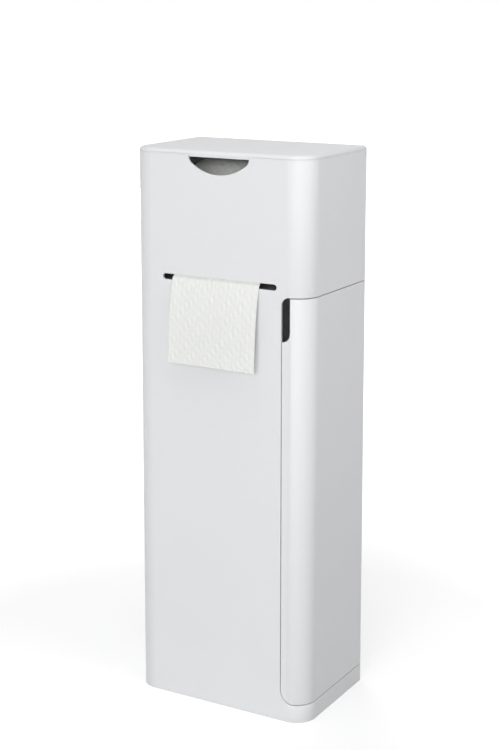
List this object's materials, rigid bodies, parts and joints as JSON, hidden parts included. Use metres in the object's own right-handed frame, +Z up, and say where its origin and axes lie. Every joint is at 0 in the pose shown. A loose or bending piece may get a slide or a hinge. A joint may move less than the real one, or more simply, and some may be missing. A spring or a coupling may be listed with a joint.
{
  "type": "toilet accessory stand",
  "caption": "Slim free-standing stand with a toilet roll compartment under a hinged lid, a paper slot in front and a tall corner door over a brush in its cup.",
  "frame": {"origin": "on the floor, under the middle of the body, on the base plate's flat underside", "axes": "+Z up along the stand's height, -Y towards the front with the paper slot, +X towards the side with the door"},
  "size_m": [0.2, 0.1378, 0.57],
  "materials": {
    "white_plastic": "satin moulded plastic, white with a slight cool cast",
    "inner_plastic": "moulded plastic, off-white",
    "pad_rubber": "soft dark grey rubber",
    "core_card": "grey-brown wound card",
    "tissue_paper": "embossed tissue, white",
    "pin_steel": "zinc plated steel",
    "magnet_ferrite": "dark ferrite",
    "head_silicone": "soft grey silicone"
  },
  "bodies": {
    "root": {"housing_shell": "white_plastic", "back_panel": "white_plastic", "base_floor": "inner_plastic", "base_plate": "inner_plastic", "foot_pads": "pad_rubber", "roll_shelf": "inner_plastic", "cradle_left": "inner_plastic", "cradle_right": "inner_plastic", "paper_sheet": "tissue_paper", "lid_pins": "pin_steel", "door_pin_upper": "pin_steel", "door_pin_lower": "pin_steel", "catch_block": "inner_plastic", "catch_magnet": "magnet_ferrite", "back_screws": "pin_steel", "shelf_screws": "pin_steel", "cradle_screws": "pin_steel", "base_screws": "pin_steel", "catch_screws": "pin_steel"},
    "roll": {"spindle_tube": "inner_plastic", "spindle_caps": "inner_plastic", "roll_core": "core_card", "toilet_roll": "tissue_paper"},
    "lid": {"lid": "white_plastic"},
    "door": {"door": "white_plastic", "strike_plate": "pin_steel"},
    "cup": {"brush_cup": "white_plastic"},
    "brush": {"brush_core": "inner_plastic", "brush_head": "head_silicone", "brush_collar": "white_plastic", "brush_handle": "white_plastic"}
  },
  "joints": [
    {"name": "lid_hinge", "type": "hinge", "parent": "root", "child": "lid", "pos_m": [0, 0.06, 0.566], "axis": [-1, 0, 0], "range_deg": [0, 100]},
    {"name": "door_hinge", "type": "hinge", "parent": "root", "child": "door", "pos_m": [0.096, 0.06, 0.22], "axis": [0, 0, 1], "range_deg": [0, 90]},
    {"name": "roll_spin", "type": "hinge", "parent": "root", "child": "roll", "pos_m": [0.0015, 0, 0.4991], "axis": [1, 0, 0], "continuous": true},
    {"name": "cup_lift", "type": "slide", "parent": "root", "child": "cup", "axis": [0, 0, 1], "range_m": [0, 0.012]},
    {"name": "brush_lift", "type": "slide", "parent": "cup", "child": "brush", "axis": [0, 0, 1], "range_m": [0, 0.068]}
  ]
}
